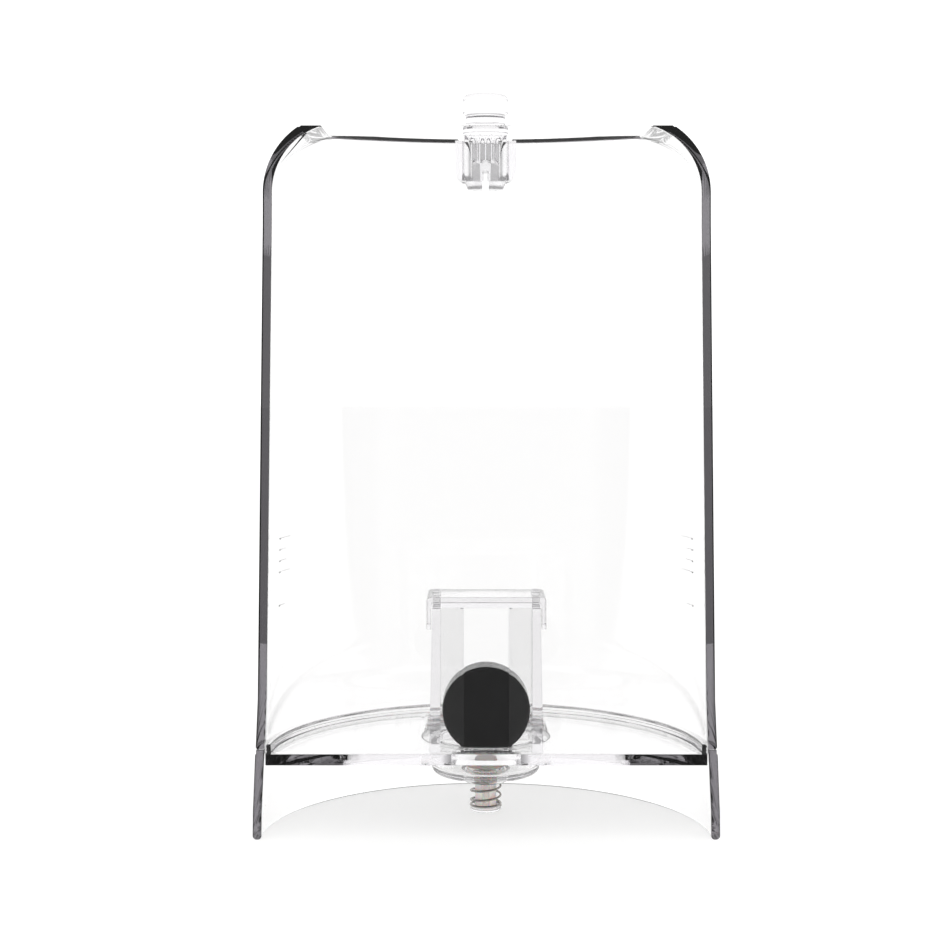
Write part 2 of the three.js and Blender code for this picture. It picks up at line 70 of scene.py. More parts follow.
SHELL_LOW, SHELL_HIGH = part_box("curved_shell")
SKIRT_LOW, SKIRT_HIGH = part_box("base_skirt")
PANEL_LOW, PANEL_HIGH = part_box("rear_panel")
FLOOR_LOW, FLOOR_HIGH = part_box("floor_plate")
CUP_LOW, CUP_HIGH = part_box("outlet_cup")
STEM_LOW, STEM_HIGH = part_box("valve_stem")
SEAL_LOW, SEAL_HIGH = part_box("valve_seal")
FOOT_LOW, FOOT_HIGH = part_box("spring_foot")
SPRING_LOW, SPRING_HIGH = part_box("valve_spring")
CAGE_LOW, CAGE_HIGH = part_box("float_cage")
CAP_LOW, CAP_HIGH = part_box("cage_cap")
FLOAT_LOW, FLOAT_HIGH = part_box("float_front")
FLOAT_REAR_LOW, FLOAT_REAR_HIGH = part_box("float_back")
MAGNET_LOW, MAGNET_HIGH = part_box("float_magnet")
SOCKET_LOW, SOCKET_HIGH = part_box("knob_socket")
KNOB_LOW, KNOB_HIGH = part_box("lift_knob")

FLAT_Y = SHELL_LOW[1]
RIM_Z = PANEL_HIGH[2]
CROWN_RISE = SHELL_HIGH[2] - RIM_Z  # how far the back of the rim stands above the panel
CROWN_SHAPE = ((9.4, 1.0), (42, 1.0), (47, 0.87), (52, 0.71), (57, 0.45), (61, 0.0))
SEAM_Z = SKIRT_HIGH[2]
FLOOR_TOP = CUP_HIGH[2]
OUTLET_Y = (CUP_LOW[1] + CUP_HIGH[1]) / 2
KNOB_Y = (KNOB_LOW[1] + KNOB_HIGH[1]) / 2
FLOAT_Z = FLOAT_HIGH[2] - (FLOAT_HIGH[0] - FLOAT_LOW[0]) / 2


# ---------------------------------------------------------------- settings


def length(name, description, millimetres):
    """A length property whose default is given in millimetres."""
    return FloatProperty(name=name, description=description, default=millimetres * MM,
                         unit="LENGTH", subtype="DISTANCE", precision=5)


class TankWallSizes(bpy.types.PropertyGroup):
    """Sizes of the clear shell, the flat wall and the skirt."""

    wall: length("Wall", "Thickness of the curved wall and the skirt", 3.1)
    foot_radius: length("Foot radius", "Outer radius of the skirt's lower edge", 81.9)
    seam_radius: length("Seam radius", "Outer radius at the seam above the skirt", 80.5)
    swell_radius: length("Swell radius", "Outer radius where the flare of the base ends", 79.6)
    swell_height: length("Swell height", "Height where the flare of the base ends", 50.0)
    neck_radius: length("Neck radius", "Outer radius just under the shoulders", 76.4)
    neck_height: length("Neck height", "Height of the neck radius", 215.0)
    rim_radius: length("Rim radius", "Outer radius of the round back of the rim", 76.1)
    shoulder: length("Shoulder", "Radius of the rounded shoulders", 27.0)
    shoulder_height: length("Shoulder height", "Height where the shoulders begin", 224.5)
    crease: length("Crease", "Softness of the crease behind each shoulder", 5.0)
    panel: length("Flat wall", "Thickness of the flat wall", 3.0)
    lip: length("Lip", "Height of the bead along the flat wall's top", 3.3)
    seam_gap: length("Seam gap", "Hairline between welded pieces", 0.12)
    edge: length("Edge", "Rounding of the moulded edges", 0.45)
    turns: IntProperty(name="Facets", description="Steps around the curved wall", default=224)


class TankFittingSizes(bpy.types.PropertyGroup):
    """Sizes of the outlet, the valve, the cage, the float and the knob."""

    cup_wall: length("Cup wall", "Thickness of the sump cup", 2.0)
    flange: length("Flange", "Thickness of the cup's flange", 1.1)
    cup_radius: length("Cup radius", "Outer radius of the sump cup", 19.7)
    boss_radius: length("Boss radius", "Outer radius of the spring boss", 8.1)
    boss_bore: length("Boss bore", "Radius of the spring's seat in the boss", 6.4)
    stem_bore: length("Stem bore", "Radius of the hole for the stem", 4.6)
    stem: length("Stem", "Radius of the valve stem", 4.2)
    wire: length("Spring wire", "Radius of the spring's wire", 0.4)
    web: length("Cage web", "Thickness of the cage's webs", 1.3)
    slot: length("Cage slot", "Half the width of the cage's slots", 7.9)
    float_edge: length("Float edge", "Rounding of the float's rims", 0.9)
    knob_slot: length("Knob slot", "Width of the slot between the knob's legs", 2.4)
    flute_depth: length("Flute depth", "Depth of the grooves down the knob's body", 0.9)


class TankColours(bpy.types.PropertyGroup):
    """Colours of the materials."""

    depth_tint: FloatVectorProperty(
        name="Depth tint", description="Colour that long ways through the clear plastic take on",
        default=(0.46, 0.40, 0.50), subtype="COLOR", min=0, max=1)
    depth_strength: FloatProperty(
        name="Depth strength", description="How fast the clear plastic darkens, per metre",
        default=26.0, min=0)
    float_black: FloatVectorProperty(
        name="Float", description="Colour of the float", default=(0.004, 0.004, 0.0045),
        subtype="COLOR", min=0, max=1)
    stem_milk: FloatVectorProperty(
        name="Stem", description="Colour of the milky valve stem", default=(0.93, 0.88, 0.84),
        subtype="COLOR", min=0, max=1)
    silicone: FloatVectorProperty(
        name="Seal", description="Colour of the silicone seal", default=(0.88, 0.82, 0.77),
        subtype="COLOR", min=0, max=1)
    wire: FloatVectorProperty(
        name="Spring", description="Colour of the spring's wire", default=(0.44, 0.42, 0.40),
        subtype="COLOR", min=0, max=1)
    ground: FloatVectorProperty(
        name="Floor", description="Colour of the studio floor", default=(0.93, 0.928, 0.925),
        subtype="COLOR", min=0, max=1)


# ---------------------------------------------------------------- mesh tools


def mesh_object(name, bm):
    """A linked object from a bmesh, with its faces turned outwards."""
    bmesh.ops.recalc_face_normals(bm, faces=bm.faces)
    mesh = bpy.data.meshes.new(name)
    bm.to_mesh(mesh)
    bm.free()
    piece = bpy.data.objects.new(name, mesh)
    bpy.context.scene.collection.objects.link(piece)
    return piece


def loft(name, rings, closed=False):
    """Joins rings of points, each a closed loop, and caps both ends unless the loft closes."""
    bm = bmesh.new()
    loops = [[bm.verts.new(point) for point in ring] for ring in rings]
    pairs = list(zip(loops, loops[1:]))
    if closed:
        pairs.append((loops[-1], loops[0]))
    for near, far in pairs:
        count = len(near)
        for i in range(count):
            j = (i + 1) % count
            bm.faces.new((near[i], near[j], far[j], far[i]))
    if not closed:
        bm.faces.new(loops[0])
        bm.faces.new(loops[-1])
    return mesh_object(name, bm)


def rounded(outline, radius, steps=3):
    """A closed outline with rounded corners; a corner may carry its own radius as a third value."""
    points = []
    count = len(outline)
    for i, corner in enumerate(outline):
        here = Vector(corner[:2])
        before = Vector(outline[i - 1][:2]) - here
        after = Vector(outline[(i + 1) % count][:2]) - here
        wanted = corner[2] if len(corner) > 2 else radius
        angle = before.angle(after)
        if wanted <= 0 or angle > math.radians(179):
            points.append(tuple(here))
            continue
        reach = min(wanted / math.tan(angle / 2), before.length * 0.48, after.length * 0.48)
        turn_radius = reach * math.tan(angle / 2)
        middle = (before.normalized() + after.normalized()).normalized()
        centre = here + middle * (turn_radius / math.sin(angle / 2))
        start = here + before.normalized() * reach - centre
        end = here + after.normalized() * reach - centre
        sweep = start.angle_signed(end)
        for step in range(steps + 1):
            spoke = start.copy()
            spoke.rotate(Matrix.Rotation(-sweep * step / steps, 2))
            points.append(tuple(centre + spoke))
    return points


def turned(name, outline, centre, steps=96, shape=None):
    """Revolves a closed outline of (radius, height); one that touches the axis closes on it."""
    bm = bmesh.new()
    rings = []
    for step in range(steps):
        angle = 2 * math.pi * step / steps
        ring = []
        for radius, height in outline:
            reach = shape(radius, height, angle) if shape else radius
            ring.append((centre[0] + reach * math.cos(angle), centre[1] + reach * math.sin(angle),
                         height))
        rings.append([bm.verts.new(point) for point in ring])
    count = len(outline)
    for step in range(steps):
        near = rings[step]
        far = rings[(step + 1) % steps]
        for i in range(count):
            j = (i + 1) % count
            if outline[i][0] <= 0 and outline[j][0] <= 0:
                continue
            bm.faces.new((near[i], near[j], far[j], far[i]))
    bmesh.ops.remove_doubles(bm, verts=bm.verts, dist=1e-7)
    bmesh.ops.dissolve_degenerate(bm, edges=bm.edges, dist=1e-8)
    return mesh_object(name, bm)


def plug(name, radius, low, high, y, steps=96):
    """A plain upright cylinder."""
    return turned(name, [(0, low), (radius, low), (radius, high), (0, high)], (0, y), steps)


def slab(name, outline, y_low, y_high):
    """A flat outline of (x, z) made solid between two depths."""
    near = [(x, y_low, z) for x, z in outline]
    far = [(x, y_high, z) for x, z in outline]
    return loft(name, [near, far])


def box(name, low, high):
    outline = [(low[0], low[2]), (high[0], low[2]), (high[0], high[2]), (low[0], high[2])]
    return slab(name, outline, low[1], high[1])


def combine(piece, tool, operation):
    """Joins a tool to a piece, or cuts it away, and removes the tool."""
    modifier = piece.modifiers.new("combine", "BOOLEAN")
    modifier.operation = operation
    modifier.solver = "EXACT"
    modifier.object = tool
    settle(piece)
    bpy.data.objects.remove(tool)
    return piece


def carve(piece, low, high):
    """Cuts a box out of a piece."""
    return combine(piece, box("cutter", low, high), "DIFFERENCE")


def weld(piece, low, high):
    """Joins a box to a piece."""
    return combine(piece, box("addition", low, high), "UNION")


def settle(piece):
    """Turns a piece's modifiers into its mesh."""
    bpy.context.view_layer.update()
    graph = bpy.context.evaluated_depsgraph_get()
    settled = bpy.data.meshes.new_from_object(piece.evaluated_get(graph), depsgraph=graph)
    old = piece.data
    piece.modifiers.clear()
    piece.data = settled
    bpy.data.meshes.remove(old)


def soften(piece, width, segments=2, angle=42):
    """Rounds a piece's sharp edges and keeps its flat faces flat under smooth shading."""
    if width:
        bevel = piece.modifiers.new("edges", "BEVEL")
        bevel.width = width
        bevel.segments = segments
        bevel.limit_method = "ANGLE"
        bevel.angle_limit = math.radians(angle)
        bevel.miter_outer = "MITER_ARC"
        settle(piece)
    for polygon in piece.data.polygons:
        polygon.use_smooth = True
    piece.data.set_sharp_from_angle(angle=math.radians(angle))
    normals = piece.modifiers.new("normals", "WEIGHTED_NORMAL")
    normals.mode = "FACE_AREA"
    normals.weight = 90
    normals.keep_sharp = True
    settle(piece)


def own(piece, body, node, material):
    """Gives a piece its body and a material, and hides the node that it stands for."""
    piece.data.materials.clear()
    piece.data.materials.append(material)
    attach(piece, body)
    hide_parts(node)
    return piece


# ---------------------------------------------------------------- effects shared by materials


def new_group(name, inputs, outputs):
    """A shader node group with named float or colour sockets."""
    group = bpy.data.node_groups.new(name, "ShaderNodeTree")
    for label, kind, value in inputs:
        socket = group.interface.new_socket(name=label, in_out="INPUT", socket_type=kind)
        socket.default_value = value
    for label, kind in outputs:
        group.interface.new_socket(name=label, in_out="OUTPUT", socket_type=kind)
    start = group.nodes.new("NodeGroupInput")
    end = group.nodes.new("NodeGroupOutput")
    return group, start, end


def arithmetic(nodes, links, operation, first, second):
    node = nodes.new("ShaderNodeMath")
    node.operation = operation
    for socket, value in zip(node.inputs, (first, second)):
        if isinstance(value, (int, float)):
            socket.default_value = value
        else:
            links.new(value, socket)
    return node.outputs["Value"]


def mould_flow():
    """Faint swells that a melt leaves as it cools: a height."""
    group = bpy.data.node_groups.get("Mould Flow")
    if group:
        return group
    group, start, end = new_group(
        "Mould Flow", [("Scale", "NodeSocketFloat", 40.0), ("Stretch", "NodeSocketFloat", 0.35)],
        [("Height", "NodeSocketFloat")])
    place = group.nodes.new("ShaderNodeTexCoord")
    squeeze = group.nodes.new("ShaderNodeCombineXYZ")
    squeeze.inputs["X"].default_value = 1
    squeeze.inputs["Y"].default_value = 1
    group.links.new(start.outputs["Stretch"], squeeze.inputs["Z"])
    stretched = group.nodes.new("ShaderNodeVectorMath")
    stretched.operation = "MULTIPLY"
    group.links.new(place.outputs["Object"], stretched.inputs[0])
    group.links.new(squeeze.outputs["Vector"], stretched.inputs[1])
    swell = group.nodes.new("ShaderNodeTexNoise")
    swell.inputs["Detail"].default_value = 1.5
    swell.inputs["Roughness"].default_value = 0.4
    group.links.new(stretched.outputs["Vector"], swell.inputs["Vector"])
    group.links.new(start.outputs["Scale"], swell.inputs["Scale"])
    group.links.new(swell.outputs["Fac"], end.inputs["Height"])
    return group


def handling_wear():
    """Hair scratches and faint smears: a mask from 0, untouched, to 1."""
    group = bpy.data.node_groups.get("Handling Wear")
    if group:
        return group
    group, start, end = new_group(
        "Handling Wear", [("Scale", "NodeSocketFloat", 60.0), ("Amount", "NodeSocketFloat", 1.0)],
        [("Mask", "NodeSocketFloat")])
    place = group.nodes.new("ShaderNodeTexCoord")
    turn = group.nodes.new("ShaderNodeMapping")
    turn.inputs["Rotation"].default_value = (0.5, 0.3, 0.9)
    turn.inputs["Scale"].default_value = (1, 1, 14)
    group.links.new(place.outputs["Object"], turn.inputs["Vector"])
    hairs = group.nodes.new("ShaderNodeTexNoise")
    hairs.inputs["Detail"].default_value = 3
    group.links.new(turn.outputs["Vector"], hairs.inputs["Vector"])
    group.links.new(start.outputs["Scale"], hairs.inputs["Scale"])
    thin = group.nodes.new("ShaderNodeMapRange")
    thin.inputs["From Min"].default_value = 0.62
    thin.inputs["From Max"].default_value = 0.74
    group.links.new(hairs.outputs["Fac"], thin.inputs["Value"])
    smear = group.nodes.new("ShaderNodeTexNoise")
    smear.inputs["Scale"].default_value = 18
    group.links.new(place.outputs["Object"], smear.inputs["Vector"])
    cover = arithmetic(group.nodes, group.links, "MULTIPLY", thin.outputs["Result"],
                       smear.outputs["Fac"])
    mask = arithmetic(group.nodes, group.links, "MULTIPLY", cover, start.outputs["Amount"])
    group.links.new(mask, end.inputs["Mask"])
    return group


def new_material(name):
    material = bpy.data.materials.new(name)
    material.use_nodes = True
    nodes = material.node_tree.nodes
    return material, nodes, material.node_tree.links, nodes["Principled BSDF"]


def add_group(nodes, group, **values):
    node = nodes.new("ShaderNodeGroup")
    node.node_tree = group
    for label, value in values.items():
        node.inputs[label].default_value = value
    return node


def add_flow_bump(nodes, links, shader, scale, stretch, height):
    """Feeds the mould flow to a shader's normal, as a swell of the given height in metres."""
    flow = add_group(nodes, mould_flow(), Scale=scale, Stretch=stretch)
    bump = nodes.new("ShaderNodeBump")
    bump.inputs["Strength"].default_value = 1.0
    bump.inputs["Distance"].default_value = height
    links.new(flow.outputs["Height"], bump.inputs["Height"])
    links.new(bump.outputs["Normal"], shader.inputs["Normal"])


def add_wear_roughness(nodes, links, shader, low, high, scale, amount=1.0):
    """Roughness that runs from low to high where a surface is scratched."""
    wear = add_group(nodes, handling_wear(), Scale=scale, Amount=amount)
    spread = nodes.new("ShaderNodeMapRange")
    spread.inputs["To Min"].default_value = low
    spread.inputs["To Max"].default_value = high
    links.new(wear.outputs["Mask"], spread.inputs["Value"])
    links.new(spread.outputs["Result"], shader.inputs["Roughness"])


# Each clear plastic's ripple scale, ripple height and share of the depth strength.
CLEAR_PLASTICS = {
    "wall_plastic": (22, 0.02 * MM, 0.11),
    "base_plastic": (60, 0.03 * MM, 0.12),
    "floor_plastic": (40, 0.03 * MM, 0.12),
    "fitting_plastic": (120, 0.02 * MM, 0.3),
}
CLEAR_IOR = 1.57


def clear_plastic(name):
    """Polished clear moulding: faces all but vanish and long ways through it go dark."""
    existing = bpy.data.materials.get(name)
    if existing:
        return existing
    scale, ripple, density_share = CLEAR_PLASTICS[name]
    colours = bpy.context.scene.tank_colours
    material, nodes, links, shader = new_material(name)
    shader.inputs["Base Color"].default_value = (1, 1, 1, 1)
    shader.inputs["Metallic"].default_value = 0
    shader.inputs["IOR"].default_value = CLEAR_IOR
    shader.inputs["Transmission Weight"].default_value = 1
    add_wear_roughness(nodes, links, shader, 0.0, 0.03, 90, 0.5)
    add_flow_bump(nodes, links, shader, scale, 0.4, ripple)
    inside = nodes.new("ShaderNodeVolumeAbsorption")
    inside.inputs["Color"].default_value = (*colours.depth_tint, 1)
    inside.inputs["Density"].default_value = colours.depth_strength * density_share
    links.new(inside.outputs["Volume"], nodes["Material Output"].inputs["Volume"])
    return material


def scaled(colour, share):
    return [share * part for part in colour]


def mottled(name, colour, second, mottle, wear, swell, constants):
    """An opaque material that drifts between two colours.

    The mottle is a (scale, stretch), the wear a (low, high, scale) of roughness, the swell a
    (scale, stretch, height), and the constants are values for the shader's own sockets.
    """
    material, nodes, links, shader = new_material(name)
    flow = add_group(nodes, mould_flow(), Scale=mottle[0], Stretch=mottle[1])
    blend = nodes.new("ShaderNodeMix")
    blend.data_type = "RGBA"
    blend.inputs["A"].default_value = (*colour, 1)
    blend.inputs["B"].default_value = (*second, 1)
    links.new(flow.outputs["Height"], blend.inputs["Factor"])
    links.new(blend.outputs["Result"], shader.inputs["Base Color"])
    for socket, value in constants.items():
        shader.inputs[socket].default_value = value
    add_wear_roughness(nodes, links, shader, *wear)
    add_flow_bump(nodes, links, shader, *swell)
    return material


def black_plastic():
    """Glossy black moulding of the float."""
    black = bpy.context.scene.tank_colours.float_black
    return mottled("black_plastic", black, scaled(black, 3), (140, 0.6),
                   (0.12, 0.3, 160), (180, 0.6, 0.01 * MM),
                   {"IOR": 1.5, "Specular IOR Level": 0.18})


def milky_plastic():
    """Natural milky moulding of the valve stem."""
    milk = bpy.context.scene.tank_colours.stem_milk
    return mottled("milky_plastic", milk, scaled(milk, 0.94), (300, 1.0),
                   (0.42, 0.55, 120), (160, 1.0, 0.006 * MM),
                   {"Subsurface Weight": 0.6, "Subsurface Scale": 0.002, "IOR": 1.48})


def silicone_rubber():
    """Soft translucent seal."""
    silicone = bpy.context.scene.tank_colours.silicone
    return mottled("silicone_rubber", silicone, scaled(silicone, 0.9), (500, 1.0),
                   (0.45, 0.7, 300), (600, 1.0, 0.02 * MM),
                   {"Subsurface Weight": 0.8, "Subsurface Scale": 0.003, "IOR": 1.41})


def spring_steel():
    """Drawn stainless wire with fine die lines."""
    steel = bpy.context.scene.tank_colours.wire
    return mottled("spring_steel", steel, scaled(steel, 0.6), (900, 0.3),
                   (0.22, 0.45, 700), (1500, 0.2, 0.01 * MM), {"Metallic": 1})


def plated_magnet():
    """Nickel plating with a slight grain."""
    return mottled("plated_magnet", (0.32, 0.32, 0.34), (0.24, 0.24, 0.26), (600, 1.0),
                   (0.35, 0.5, 500), (900, 1.0, 0.01 * MM), {"Metallic": 1})


# ---------------------------------------------------------------- the tank's form


def around(section, angle):
    """A section of (radius, height) stood at an angle round the middle of the flat side."""
    return [(r * math.cos(angle), FLAT_Y + r * math.sin(angle), z) for r, z in section]


def wall_stations(walls):
    """Heights and outer radii of the curved wall, from the surface to the rim."""
    return [
        (0.0, walls.foot_radius),
        (10 * MM, walls.foot_radius - 0.2 * MM),
        (SEAM_Z, walls.seam_radius),
        (walls.swell_height, walls.swell_radius),
        (walls.neck_height, walls.neck_radius),
        (RIM_Z, walls.rim_radius),
    ]


def wall_radius(walls, z):
    """Outer radius at a height, on straight lines between the stations."""
    stations = wall_stations(walls)
    z = min(max(z, stations[0][0]), stations[-1][0])
    for (z0, r0), (z1, r1) in zip(stations, stations[1:]):
        if z <= z1:
            return r0 + (r1 - r0) * (z - z0) / (z1 - z0)
    return stations[-1][1]


def shoulder_reach(walls, z, offset):
    """Half the width that the rounded shoulders leave at a height, for a wall offset inwards."""
    radius = walls.shoulder - offset
    centre = wall_radius(walls, walls.shoulder_height) - walls.shoulder
    rise = z - walls.shoulder_height
    if rise <= 0:
        return centre + radius - rise * 0.5
    rise = min(rise, radius * 0.999)
    return centre + math.sqrt(radius * radius - rise * rise)


def soft_minimum(a, b, softness):
    blend = max(softness - abs(a - b), 0) / softness
    return min(a, b) - blend * blend * softness / 4


def wall_reach(walls, angle, z, offset):
    """Distance from the flat side's middle to the wall, in the direction of an angle."""
    reach = wall_radius(walls, z) - offset
    across = abs(math.cos(angle))
    if z < walls.shoulder_height - 20 * MM or across < 1e-4:
        return reach
    half_width = shoulder_reach(walls, z, offset)
    sharpness = max(1 - (half_width / reach) ** 2, 0)
    return soft_minimum(reach, half_width / across, walls.crease * sharpness + 1e-6)


def contour_half_width(walls, z, offset):
    return wall_reach(walls, 0.0, z, offset)


def stepped(low, high, count):
    return [low + (high - low) * i / count for i in range(count + 1)]


def shell_heights(walls, low, high):
    heights = stepped(low, walls.swell_height, 6)
    heights += stepped(walls.swell_height, walls.shoulder_height - 4 * MM, 24)[1:]
    heights += stepped(walls.shoulder_height - 4 * MM, high, 36)[1:]
    return heights


# Heights of the graduation ticks and how many degrees of the wall each one covers.
GRADUATIONS = ((92, 7), (96, 4.5), (100, 4.5), (104, 7), (80, 4))
TICK_START = 14  # degrees round from the flat side
TICK_STEPS = 8


def graduation(walls, side, z, span):
    """A thin raised bar on the inside of the curved wall."""
    half = 0.3 * MM
    rings = []
    for step in range(TICK_STEPS + 1):
        turn = math.radians(TICK_START + span * step / TICK_STEPS)
        angle = turn if side > 0 else math.pi - turn
        reach = wall_reach(walls, angle, z, walls.wall)
        section = [(reach + 0.5 * MM, z - half), (reach + 0.5 * MM, z + half),
                   (reach - 0.3 * MM, z + half * 0.6), (reach - 0.3 * MM, z - half * 0.6)]
        rings.append(around(section, angle))
    return loft("tick", rings)


def crown_share(x):
    """Share of the full crown at a distance from the middle of the rim."""
    across = abs(x) / MM
    if across < CROWN_SHAPE[0][0] or across > CROWN_SHAPE[-1][0]:
        return 0.0
    for (x0, s0), (x1, s1) in zip(CROWN_SHAPE, CROWN_SHAPE[1:]):
        if across <= x1:
            return s0 + (s1 - s0) * (across - x0) / (x1 - x0)
    return 0.0


class TANK_OT_shell(bpy.types.Operator):
    """Makes the clear curved wall with its rounded shoulders"""

    bl_idname = "tank.shell"
    bl_label = "Curved wall"

    def execute(self, context):
        walls = context.scene.tank_walls
        low = SHELL_LOW[2]
        edge = walls.edge
        top = RIM_Z
        outer_heights = shell_heights(walls, low + edge, top - edge)
        rings = []
        for step in range(walls.turns + 1):
            angle = math.pi * step / walls.turns
            profile = []
            for z in outer_heights:
                profile.append((wall_reach(walls, angle, z, 0), z))
            outer_top = wall_reach(walls, angle, top, 0)
            inner_top = wall_reach(walls, angle, top, walls.wall)
            share = crown_share((outer_top - walls.wall / 2) * math.cos(angle))
            rise = CROWN_RISE * share
            foot = (outer_top, top - edge * (1 - share))
            head = (outer_top - edge - rise, top + rise)
            for part in stepped(0, 1, 4):
                profile.append((foot[0] + (head[0] - foot[0]) * part,
                                foot[1] + (head[1] - foot[1]) * part))
            profile.append((inner_top + edge, top + rise))
            profile.append((inner_top + 0.3 * edge, top + rise - 0.3 * edge))
            profile.append((inner_top, top + rise - edge))
            for z in reversed(outer_heights):
                profile.append((wall_reach(walls, angle, z, walls.wall), z))
            outer_low = wall_reach(walls, angle, low, 0)
            inner_low = wall_reach(walls, angle, low, walls.wall)
            profile.append((inner_low + edge, low))
            profile.append((outer_low - edge, low))
            rings.append(around(profile, angle))
        piece = loft("shell_wall", rings)
        for z, span in GRADUATIONS:
            for side in (-1, 1):
                combine(piece, graduation(walls, side, z * MM, span), "UNION")
        soften(piece, edge * 0.8, 3, 60)
        own(piece, "tank", "curved_shell", clear_plastic("wall_plastic"))
        return {"FINISHED"}


class TANK_OT_panel(bpy.types.Operator):
    """Makes the flat wall with the bead along its top"""

    bl_idname = "tank.panel"
    bl_label = "Flat wall"

    def execute(self, context):
        walls = context.scene.tank_walls
        offset = walls.wall + walls.seam_gap
        heights = shell_heights(walls, PANEL_LOW[2], RIM_Z)
        right = [(contour_half_width(walls, z, offset), z) for z in heights]
        left = [(-x, z) for x, z in reversed(right)]
        piece = slab("flat_wall", right + left, FLAT_Y, FLAT_Y + walls.panel)
        bead_low = RIM_Z - walls.lip
        bead_heights = stepped(bead_low, RIM_Z, 6)
        bead_right = [(contour_half_width(walls, z, offset) - 0.02 * MM, z) for z in bead_heights]
        bead_left = [(-x, z) for x, z in reversed(bead_right)]
        bead = slab("bead", bead_right + bead_left, FLAT_Y + 0.5 * MM, PANEL_HIGH[1])
        combine(piece, bead, "UNION")
        soften(piece, 0.35 * MM, 3, 30)
        own(piece, "tank", "rear_panel", clear_plastic("wall_plastic"))
        return {"FINISHED"}


class TANK_OT_skirt(bpy.types.Operator):
    """Makes the flared skirt that the tank stands on"""

    bl_idname = "tank.skirt"
    bl_label = "Skirt"

    def execute(self, context):
        walls = context.scene.tank_walls
        thick = walls.wall
        foot = walls.foot_radius
        knee = foot - 0.2 * MM
        seam = walls.seam_radius
        outline = rounded([
            (foot - thick, 0.0, 1.35 * MM),
            (foot, 0.0, 1.5 * MM),
            (knee, 10 * MM, 0),
            (seam + 0.25 * MM, SEAM_Z - 1.8 * MM, 0.2 * MM),
            (seam - 0.1 * MM, SEAM_Z - 1.5 * MM, 0),
            (seam - 0.1 * MM, SEAM_Z, 0.3 * MM),
            (seam - thick, SEAM_Z, 0.3 * MM),
            (knee - thick, 10 * MM, 0),
        ], 0.3 * MM, 5)
        piece = loft("skirt_wall", [around(outline, math.pi * step / walls.turns)
                                    for step in range(walls.turns + 1)])
        soften(piece, 0.3 * MM, 3, 60)
        own(piece, "tank", "base_skirt", clear_plastic("base_plastic"))
        return {"FINISHED"}


class TANK_OT_floor(bpy.types.Operator):
    """Makes the floor with its locating rib and the seat of the outlet"""

    bl_idname = "tank.floor"
    bl_label = "Floor"

    def execute(self, context):
        walls = context.scene.tank_walls
        fittings = context.scene.tank_fittings
        radius = FLOOR_HIGH[0]
        bottom = FLOOR_LOW[2]
        turns = walls.turns
        strips = []
        for a in stepped(math.radians(2), math.radians(178), turns):
            x = radius * math.cos(a)
            back = FLAT_Y + radius * math.sin(a)
            strips.append([(x, FLAT_Y, bottom), (x, back, bottom),
                           (x, back, FLOOR_TOP), (x, FLAT_Y, FLOOR_TOP)])
        plate = loft("tank_floor", strips)
        soften(plate, 0.25 * MM, 2, 50)
        rib_outer = walls.seam_radius - walls.wall - 0.35 * MM
        rib_inner = rib_outer - 1.45 * MM
        start = math.asin((3.6 * MM) / rib_outer)
        rib_outline = rounded([
            (rib_inner - 0.9 * MM, FLOOR_TOP - 1 * MM, 0), (rib_outer, FLOOR_TOP - 1 * MM, 0),
            (rib_outer, FLOOR_HIGH[2], 0.35 * MM), (rib_inner, FLOOR_HIGH[2], 0.35 * MM),
            (rib_inner, FLOOR_TOP + 1.0 * MM, 0), (rib_inner - 0.3 * MM, FLOOR_TOP + 0.35 * MM, 0),
        ], 0, 4)
        rib = loft("rib", [around(rib_outline, a) for a in stepped(start, math.pi - start, turns)])
        combine(plate, rib, "UNION")
        play = 0.15 * MM
        over = FLOOR_TOP + MM
        hole = plug("hole", fittings.cup_radius + play, bottom - MM, over, OUTLET_Y)
        combine(plate, hole, "DIFFERENCE")
        seat_low = FLOOR_TOP - fittings.flange - play
        seat = plug("seat", CUP_HIGH[0] + play, seat_low, over, OUTLET_Y)
        combine(plate, seat, "DIFFERENCE")
        soften(plate, 0, 2, 30)
        own(plate, "tank", "floor_plate", clear_plastic("floor_plastic"))
        return {"FINISHED"}


class TANK_OT_outlet(bpy.types.Operator):
    """Makes the sump cup and the spring boss under it"""

    bl_idname = "tank.outlet"
    bl_label = "Outlet cup"

    def execute(self, context):
        fittings = context.scene.tank_fittings
        outer = fittings.cup_radius
        inner = outer - fittings.cup_wall
        bottom = 17 * MM
        plate_top = bottom + fittings.cup_wall
        flange_low = FLOOR_TOP - fittings.flange
        flange_radius = CUP_HIGH[0]
        boss_top = 16 * MM
        outline = rounded([
            (outer, flange_low, 0.2 * MM),
            (outer, bottom, 2.6 * MM),
            (fittings.boss_radius, bottom, 0.9 * MM),
            (fittings.boss_radius, CUP_LOW[2], 0.6 * MM),
            (fittings.boss_bore, CUP_LOW[2], 0.5 * MM),
            (fittings.boss_bore, boss_top, 0.3 * MM),
            (fittings.stem_bore, boss_top, 0.2 * MM),
            (fittings.stem_bore, plate_top, 0.3 * MM),
            (inner, plate_top, 1.6 * MM),
            (inner, FLOOR_TOP, 0.3 * MM),
            (flange_radius, FLOOR_TOP, 0.25 * MM),
            (flange_radius, flange_low, 0.2 * MM),
        ], 0.2 * MM, 5)
        piece = turned("sump_cup", outline, (0, OUTLET_Y), 144)
        soften(piece, 0)
        own(piece, "tank", "outlet_cup", clear_plastic("floor_plastic"))
        return {"FINISHED"}


